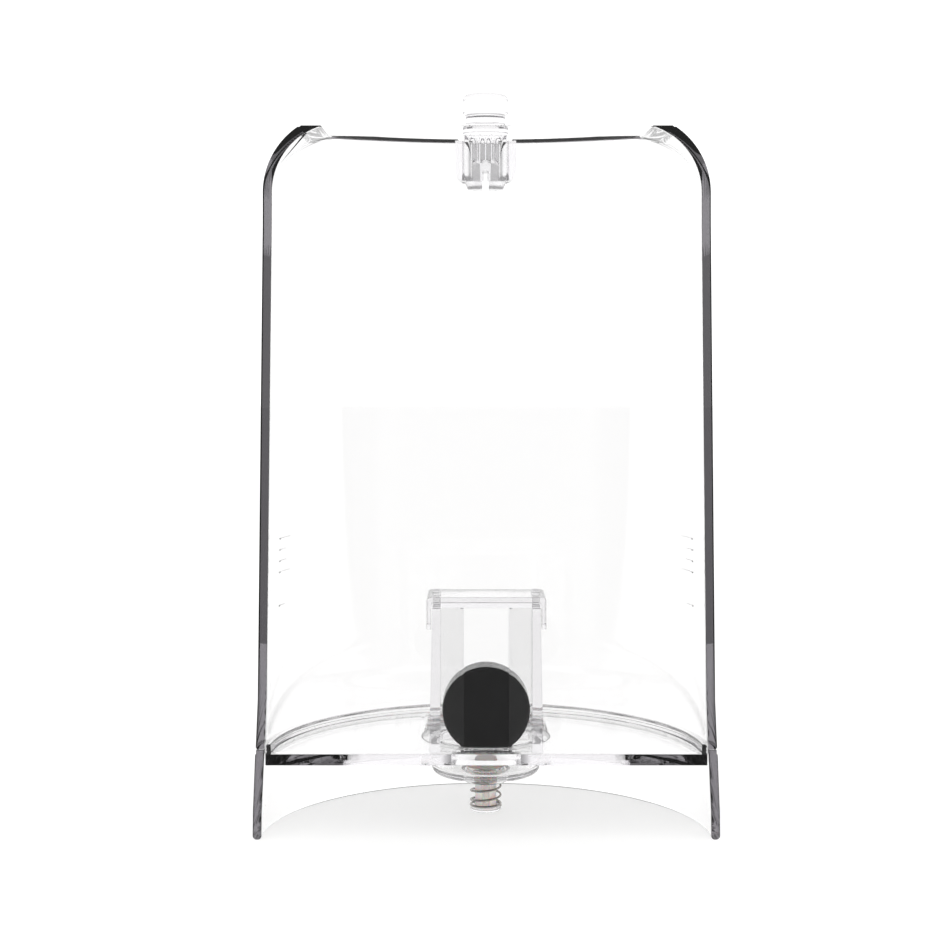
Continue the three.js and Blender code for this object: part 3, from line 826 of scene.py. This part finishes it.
class TANK_OT_valve(bpy.types.Operator):
    """Makes the valve stem, its seal and the disc that carries the spring"""

    bl_idname = "tank.valve"
    bl_label = "Valve"

    def execute(self, context):
        fittings = context.scene.tank_fittings
        stem_radius = fittings.stem
        head_radius = STEM_HIGH[0]
        head_low = STEM_HIGH[2] - 1.8 * MM

        def grooved(radius, height, angle):
            if radius < stem_radius * 0.9 or height > head_low - 1.2 * MM:
                return radius
            if height < STEM_LOW[2] + 1.2 * MM:
                return radius
            away = abs(math.remainder(angle, math.pi / 2))
            depth = 1.4 * MM * min(max((0.36 - away) / 0.08, 0), 1)
            return radius - depth

        shaft = stepped(STEM_LOW[2] + 0.5 * MM, head_low - 0.2 * MM, 16)
        outline = [(0, STEM_LOW[2]), (stem_radius - 0.5 * MM, STEM_LOW[2])]
        outline += [(stem_radius, z) for z in shaft]
        outline += rounded([
            (stem_radius + 0.1 * MM, head_low, 0), (head_radius, head_low, 0.2 * MM),
            (head_radius, STEM_HIGH[2], 0.6 * MM), (0, STEM_HIGH[2], 0),
        ], 0, 4)
        stem = turned("stem", outline, (0, OUTLET_Y), 160, grooved)
        soften(stem, 0)
        own(stem, "valve", "valve_stem", milky_plastic())

        hole = stem_radius + 0.25 * MM
        seal_outline = rounded([
            (hole, SEAL_LOW[2]), (SEAL_HIGH[0], SEAL_LOW[2]), (SEAL_HIGH[0], SEAL_HIGH[2]),
            (hole, SEAL_HIGH[2]),
        ], 0.5 * MM, 5)
        seal = turned("seal_ring", seal_outline, (0, OUTLET_Y))
        soften(seal, 0)
        own(seal, "valve", "valve_seal", silicone_rubber())

        foot_outline = [(0, FOOT_LOW[2])] + rounded([
            (FOOT_HIGH[0], FOOT_LOW[2], 0.5 * MM), (FOOT_HIGH[0], FOOT_HIGH[2], 0.3 * MM),
            (0.4 * MM, FOOT_HIGH[2], 0),
        ], 0, 4)[1:-1] + [(0, FOOT_HIGH[2])]
        foot = turned("spring_disc", foot_outline, (0, OUTLET_Y))
        soften(foot, 0)
        own(foot, "valve", "spring_foot", clear_plastic("fitting_plastic"))
        return {"FINISHED"}


COIL_STEPS = 56  # rings of the wire in one turn
WIRE_SIDES = 14


class TANK_OT_spring(bpy.types.Operator):
    """Makes the outlet spring at one fixed length; the real one shortens as the valve lifts"""

    bl_idname = "tank.spring"
    bl_label = "Valve spring"

    def execute(self, context):
        wire = context.scene.tank_fittings.wire
        radius = SPRING_HIGH[0] - wire
        low = SPRING_LOW[2] + wire
        high = SPRING_HIGH[2] - wire
        closed_turns = 1.1
        free_turns = 3.0
        closed_rise = closed_turns * wire * 2.1
        turns = closed_turns + free_turns
        rings = []
        for step in range(int(turns * COIL_STEPS) + 1):
            turn = step / COIL_STEPS
            share = min(max((turn - closed_turns) / free_turns, 0), 1)
            rise = min(turn, closed_turns) / closed_turns * closed_rise
            z = low + rise + share * (high - low - closed_rise)
            angle = 2 * math.pi * turn
            outward = Vector((math.cos(angle), math.sin(angle), 0))
            middle = Vector((0, OUTLET_Y, z)) + outward * radius
            ring = []
            for side in range(WIRE_SIDES):
                roll = 2 * math.pi * side / WIRE_SIDES
                ring.append(middle + outward * math.cos(roll) * wire
                            + Vector((0, 0, 1)) * math.sin(roll) * wire)
            rings.append(ring)
        piece = loft("spring_wire", rings)
        soften(piece, 0)
        own(piece, "tank", "valve_spring", spring_steel())
        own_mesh(piece)
        return {"FINISHED"}


HOOK_PLACE = 17.4  # millimetres from the cage's middle to its hooks


class TANK_OT_cage(bpy.types.Operator):
    """Makes the float's cage and the cap that snaps over it"""

    bl_idname = "tank.cage"
    bl_label = "Float cage"

    def execute(self, context):
        fittings = context.scene.tank_fittings
        low = CAGE_LOW[2]
        wide = CAGE_HIGH[0]
        narrow = wide - 1.1 * MM
        inner = 16.1 * MM
        front = CAGE_LOW[1]
        back = CAGE_HIGH[1]
        hook_top = CAGE_HIGH[2]
        top = CAP_HIGH[2] - 4 * MM
        web_front = FLAT_Y + 6.7 * MM
        web_back = web_front + fittings.web
        cage = slab("cage_frame", [(-wide, low), (wide, low), (narrow, top), (-narrow, top)],
                    front, back)
        carve(cage, (-inner, web_back, 0), (inner, back - fittings.web, 0.1))
        carve(cage, (-inner, front - MM, 0), (inner, web_front, 0.1))
        carve(cage, (-fittings.slot, front - MM, 0), (fittings.slot, back + MM, 0.1))
        hook_y = (front + back) / 2
        for side in (-1, 1):
            rib = side * (fittings.slot + 0.6 * MM)
            weld(cage, (rib - 0.6 * MM, front, low),
                 (rib + 0.6 * MM, web_back - 0.3 * MM, top))
            hook = side * HOOK_PLACE * MM
            weld(cage, (hook - 1.1 * MM, hook_y - 3 * MM, top - MM),
                 (hook + 1.1 * MM, hook_y + 3 * MM, hook_top))
        bridge = fittings.slot + 1.2 * MM
        weld(cage, (-bridge, front, low), (bridge, web_front, low + 0.8 * MM))
        soften(cage, 0.22 * MM, 2, 40)
        own(cage, "tank", "float_cage", clear_plastic("fitting_plastic"))

        ear = CAP_LOW[2]
        half = CAP_HIGH[0]
        cap_low = CAP_HIGH[2] - 3.7 * MM
        gap = narrow + 0.42 * MM
        outline = rounded([
            (-half, ear, 0.3 * MM), (-gap, ear, 0.2 * MM), (-gap, cap_low, 0.3 * MM),
            (gap, cap_low, 0.3 * MM), (gap, ear, 0.2 * MM), (half, ear, 0.3 * MM),
            (half, CAP_HIGH[2], 1.4 * MM), (-half, CAP_HIGH[2], 1.4 * MM),
        ], 0, 4)
        cap = slab("cage_cover", outline, CAP_LOW[1], CAP_HIGH[1])
        for side in (-1, 1):
            hook = side * HOOK_PLACE * MM
            carve(cap, (hook - 1.35 * MM, hook_y - 3.25 * MM, cap_low - MM),
                  (hook + 1.35 * MM, hook_y + 3.25 * MM, CAP_HIGH[2] + MM))
        soften(cap, 0.25 * MM, 2, 50)
        own(cap, "tank", "cage_cap", clear_plastic("fitting_plastic"))
        return {"FINISHED"}


DISC_STEPS = 160  # steps round the float


def disc_outline(radius, flat, count):
    """A disc seen along its axis, with a flat cut across its bottom."""
    start = -math.asin(flat / radius)
    points = []
    for angle in stepped(start, math.pi - start, count):
        points.append((radius * math.cos(angle), FLOAT_Z + radius * math.sin(angle)))
    return points


class TANK_OT_float(bpy.types.Operator):
    """Makes the two halves of the float and the magnet in it"""

    bl_idname = "tank.float"
    bl_label = "Float"

    def execute(self, context):
        fittings = context.scene.tank_fittings
        radius = FLOAT_HIGH[0]
        flat = FLOAT_Z - FLOAT_LOW[2]
        edge = fittings.float_edge

        def half(name, y_face, y_joint):
            direction = 1 if y_joint > y_face else -1
            rings = []
            for turn in stepped(0, math.pi / 2, 6):
                inset = edge * (1 - math.sin(turn))
                y = y_face + direction * edge * (1 - math.cos(turn))
                outline = disc_outline(radius - inset, flat - inset, DISC_STEPS)
                rings.append([(x, y, z) for x, z in outline])
            rings.append([(x, y_joint, z) for x, z in disc_outline(radius, flat, DISC_STEPS)])
            return loft(name, rings)

        front = half("float_front_half", FLOAT_LOW[1], FLOAT_HIGH[1])
        pocket_gap = 0.2 * MM
        pocket_low = [MAGNET_LOW[0] - pocket_gap, MAGNET_LOW[1] - pocket_gap,
                      MAGNET_LOW[2] - pocket_gap]
        pocket_high = [MAGNET_HIGH[0] + pocket_gap, FLOAT_HIGH[1] + MM, MAGNET_HIGH[2] + pocket_gap]
        carve(front, pocket_low, pocket_high)
        recess_y = FLOAT_LOW[1]
        carve(front, (-7.4 * MM, recess_y - MM, FLOAT_Z + 6.6 * MM),
              (7.4 * MM, recess_y + 0.12 * MM, FLOAT_Z + 10.4 * MM))
        soften(front, 0, angle=35)
        material = black_plastic()
        own(front, "float", "float_front", material)

        rear = half("float_back_half", FLOAT_REAR_HIGH[1], FLOAT_REAR_LOW[1])
        soften(rear, 0, angle=35)
        own(rear, "float", "float_back", material)

        magnet = box("magnet_bar", MAGNET_LOW, MAGNET_HIGH)
        soften(magnet, 0.4 * MM, 3)
        own(magnet, "float", "float_magnet", plated_magnet())
        return {"FINISHED"}


class TANK_OT_knob(bpy.types.Operator):
    """Makes the rim knob and the socket that it snaps into"""

    bl_idname = "tank.knob"
    bl_label = "Rim knob"

    def execute(self, context):
        walls = context.scene.tank_walls
        fittings = context.scene.tank_fittings
        half = SOCKET_HIGH[0]
        bottom = SOCKET_LOW[2]
        top = SOCKET_HIGH[2]
        lug = slab("socket_lug", rounded([
            (-half, top, 0), (-half, bottom, 4 * MM), (half, bottom, 4 * MM), (half, top, 0),
        ], 0, 8), SOCKET_LOW[1], SHELL_HIGH[1])
        reach = walls.rim_radius - walls.wall - 0.12 * MM
        room = turned("room", [(0, bottom - MM), (reach + 0.1 * MM, bottom - MM),
                               (reach, top + MM), (0, top + MM)], (0, FLAT_Y), 448)
        combine(lug, room, "INTERSECT")
        bore = plug("bore", 8.8 * MM, bottom - MM, top + MM, KNOB_Y, 128)
        combine(lug, bore, "DIFFERENCE")
        soften(lug, 0.25 * MM, 2, 50)
        own(lug, "tank", "knob_socket", clear_plastic("fitting_plastic"))

        radius = KNOB_HIGH[0]
        body = 8.1 * MM
        neck = 7.4 * MM
        collar = 250.2 * MM
        cap_low = 257.9 * MM
        leg_low = KNOB_LOW[2]
        fluted_low = 239 * MM
        fluted_high = collar - MM

        def fluted(reach, height, angle):
            if abs(reach - body) > 0.15 * MM or not fluted_low <= height <= fluted_high:
                return reach
            ends = min(height - fluted_low, fluted_high - height) / (0.8 * MM)
            wave = 0.5 - 0.5 * math.cos(12 * angle + math.pi)
            return reach - fittings.flute_depth * wave * min(ends, 1)

        outline = [(0, leg_low), (body - 1.5 * MM, leg_low), (body, 233.2 * MM)]
        outline += [(body, z) for z in stepped(234 * MM, fluted_high + 0.4 * MM, 24)]
        outline += rounded([
            (body, collar, 0), (radius, collar, 0.3 * MM), (radius, collar + 2.2 * MM, 0.4 * MM),
            (neck, collar + 3.6 * MM, 0.8 * MM), (neck, cap_low - 1.2 * MM, 0.8 * MM),
            (radius, cap_low, 0.5 * MM), (radius, KNOB_HIGH[2] - 0.35 * MM, 2.2 * MM),
            (0, KNOB_HIGH[2], 0),
        ], 0, 6)
        knob = turned("knob", outline, (0, KNOB_Y), 240, fluted)
        half_slot = fittings.knob_slot / 2
        carve(knob, (-half_slot, KNOB_Y - 0.02, leg_low - MM),
              (half_slot, KNOB_Y + 0.02, 236 * MM))
        soften(knob, 0, angle=40)
        own(knob, "tank", "lift_knob", clear_plastic("fitting_plastic"))
        return {"FINISHED"}


# ---------------------------------------------------------------- the stage

CAMERA_PLACE = (-5.55 * MM, FLAT_Y - 659.7 * MM, 185.2 * MM)
CAMERA_PITCH = 0.0830  # radians below level
CAMERA_LENS = 73.5
CAMERA_SENSOR = 36

# Ramps, as where each one starts and ends and its value at both.
ROOM_CEILING = (0.30, 0.62, 1.0, 0.22)  # by height, as a direction
ROOM_DEPTH = (-0.45, 0.35, 0.3, 0.95)  # from the near side to the far side, as a direction
ROOM_TIRED = (8.0, 13.0, 1.0, 0.2)  # by bounces
TABLE_TIRED = (8.0, 13.0, 0.72, 0.2)  # by bounces
TABLE_NEAR = (-0.09, -0.03, 0.13, 0.72)  # from the near side to the far side, in metres

ROOM_STRENGTH = 1.3
ROOM_DARKEST = 0.26
TABLE_SHARE = 0.42  # of the floor's colour
TABLE_DARK = (0.04, 0.04, 0.04, 1)
TABLE_DARK_EDGE = -0.05  # the near side of this line is dark in reflections


def ramp(nodes, links, source, low, high, at_low, at_high):
    """A smooth step from one value to another."""
    node = nodes.new("ShaderNodeMapRange")
    node.interpolation_type = "SMOOTHSTEP"
    node.inputs["From Min"].default_value = low
    node.inputs["From Max"].default_value = high
    node.inputs["To Min"].default_value = at_low
    node.inputs["To Max"].default_value = at_high
    links.new(source, node.inputs["Value"])
    return node.outputs["Result"]


def pick(nodes, links, choice, when_no, when_yes):
    node = nodes.new("ShaderNodeMix")
    links.new(choice, node.inputs["Factor"])
    for socket, value in ((node.inputs["A"], when_no), (node.inputs["B"], when_yes)):
        if isinstance(value, (int, float)):
            socket.default_value = value
        else:
            links.new(value, socket)
    return node.outputs["Result"]


def mirrored(nodes, links, path):
    """One for light that met a mirror-like face on its way, nought for light seen directly."""
    return arithmetic(nodes, links, "GREATER_THAN", path.outputs["Glossy Depth"], 0.5)


def studio_world():
    """A room that is plain white to the camera and to diffuse light.

    Light that comes through or off the clear plastic meets a darker ceiling, and reflections
    meet a darker near side too. Light that has bounced many times is dimmed, in place of the
    absorption of long paths.
    """
    world = bpy.data.worlds.new("studio")
    world.use_nodes = True
    nodes = world.node_tree.nodes
    links = world.node_tree.links
    background = nodes["Background"]
    path = nodes.new("ShaderNodeLightPath")
    place = nodes.new("ShaderNodeTexCoord")
    split = nodes.new("ShaderNodeSeparateXYZ")
    links.new(place.outputs["Generated"], split.inputs["Vector"])

    ceiling = ramp(nodes, links, split.outputs["Z"], *ROOM_CEILING)
    tired = ramp(nodes, links, path.outputs["Ray Depth"], *ROOM_TIRED)
    through = arithmetic(nodes, links, "MULTIPLY", ceiling, tired)
    far_side = ramp(nodes, links, split.outputs["Y"], *ROOM_DEPTH)
    glint = arithmetic(nodes, links, "MULTIPLY", ceiling, far_side)
    bent = pick(nodes, links, mirrored(nodes, links, path), through, glint)
    soft = arithmetic(nodes, links, "GREATER_THAN", path.outputs["Diffuse Depth"], 0.5)
    plain = arithmetic(nodes, links, "MAXIMUM", soft, path.outputs["Is Camera Ray"])
    lit = arithmetic(nodes, links, "MAXIMUM", bent, ROOM_DARKEST)
    level = pick(nodes, links, plain, lit, 1.0)
    strength = arithmetic(nodes, links, "MULTIPLY", level, ROOM_STRENGTH)
    links.new(strength, background.inputs["Strength"])
    background.inputs["Color"].default_value = (1, 1, 1, 1)
    return world


def light_table(colour):
    """A pale table that glows a little, so that shadows on it stay faint.

    Its near side is darker in reflections.
    """
    material, nodes, links, shader = new_material("light_table")
    shader.inputs["Roughness"].default_value = 0.8
    shader.inputs["Specular IOR Level"].default_value = 0.0
    path = nodes.new("ShaderNodeLightPath")
    place = nodes.new("ShaderNodeNewGeometry")
    split = nodes.new("ShaderNodeSeparateXYZ")
    links.new(place.outputs["Position"], split.inputs["Vector"])
    tired = ramp(nodes, links, path.outputs["Ray Depth"], *TABLE_TIRED)
    near_side = ramp(nodes, links, split.outputs["Y"], *TABLE_NEAR)
    glow = pick(nodes, links, mirrored(nodes, links, path), tired, near_side)
    links.new(glow, shader.inputs["Emission Strength"])
    shade = nodes.new("ShaderNodeMix")
    shade.data_type = "RGBA"
    shade.inputs["A"].default_value = (*scaled(colour, TABLE_SHARE), 1)
    shade.inputs["B"].default_value = TABLE_DARK
    dark = arithmetic(nodes, links, "LESS_THAN", split.outputs["Y"], TABLE_DARK_EDGE)
    links.new(arithmetic(nodes, links, "MULTIPLY", mirrored(nodes, links, path), dark),
              shade.inputs["Factor"])
    links.new(shade.outputs["Result"], shader.inputs["Base Color"])
    shader.inputs["Emission Color"].default_value = (*colour, 1)
    return material


class TANK_OT_stage(bpy.types.Operator):
    """Makes the pale floor, the soft studio light and the camera"""

    bl_idname = "tank.stage"
    bl_label = "Stage"

    def execute(self, context):
        scene = context.scene
        ground = box("studio_floor", (-3, -3, -0.02), (3, 3, 0))
        ground.data.materials.append(light_table(scene.tank_colours.ground))

        scene.world = studio_world()

        camera_data = bpy.data.cameras.new("camera")
        camera_data.sensor_width = CAMERA_SENSOR
        camera_data.lens = CAMERA_LENS
        camera_data.clip_start = 0.01
        camera = bpy.data.objects.new("camera", camera_data)
        scene.collection.objects.link(camera)
        camera.location = CAMERA_PLACE
        camera.rotation_euler = (math.pi / 2 - CAMERA_PITCH, 0, 0)
        scene.camera = camera

        scene.view_settings.view_transform = "Standard"
        scene.cycles.max_bounces = 32
        scene.cycles.transmission_bounces = 28
        scene.cycles.glossy_bounces = 12
        scene.cycles.diffuse_bounces = 4
        return {"FINISHED"}


class TANK_PT_sidebar(bpy.types.Panel):
    """Lists the tank's pieces in the sidebar"""

    bl_label = "Water tank"
    bl_idname = "TANK_PT_sidebar"
    bl_space_type = "VIEW_3D"
    bl_region_type = "UI"
    bl_category = "Tank"

    def draw(self, context):
        for operator in OPERATORS:
            self.layout.operator(operator.bl_idname)
        for group in (context.scene.tank_walls, context.scene.tank_fittings,
                      context.scene.tank_colours):
            column = self.layout.column()
            for name in group.bl_rna.properties.keys():
                if name not in {"rna_type", "name"}:
                    column.prop(group, name)


OPERATORS = (TANK_OT_stage, TANK_OT_shell, TANK_OT_panel, TANK_OT_skirt, TANK_OT_floor,
             TANK_OT_outlet, TANK_OT_valve, TANK_OT_spring, TANK_OT_cage, TANK_OT_float,
             TANK_OT_knob)
GROUPS = (TankWallSizes, TankFittingSizes, TankColours)


def register():
    for cls in (*GROUPS, *OPERATORS, TANK_PT_sidebar):
        bpy.utils.register_class(cls)
    bpy.types.Scene.tank_walls = PointerProperty(type=TankWallSizes)
    bpy.types.Scene.tank_fittings = PointerProperty(type=TankFittingSizes)
    bpy.types.Scene.tank_colours = PointerProperty(type=TankColours)


def unregister():
    del bpy.types.Scene.tank_colours
    del bpy.types.Scene.tank_fittings
    del bpy.types.Scene.tank_walls
    for cls in reversed((*GROUPS, *OPERATORS, TANK_PT_sidebar)):
        bpy.utils.unregister_class(cls)


def main():
    register()
    for operator in OPERATORS:
        group, name = operator.bl_idname.split(".")
        getattr(getattr(bpy.ops, group), name)()


if __name__ == "__main__":
    main()
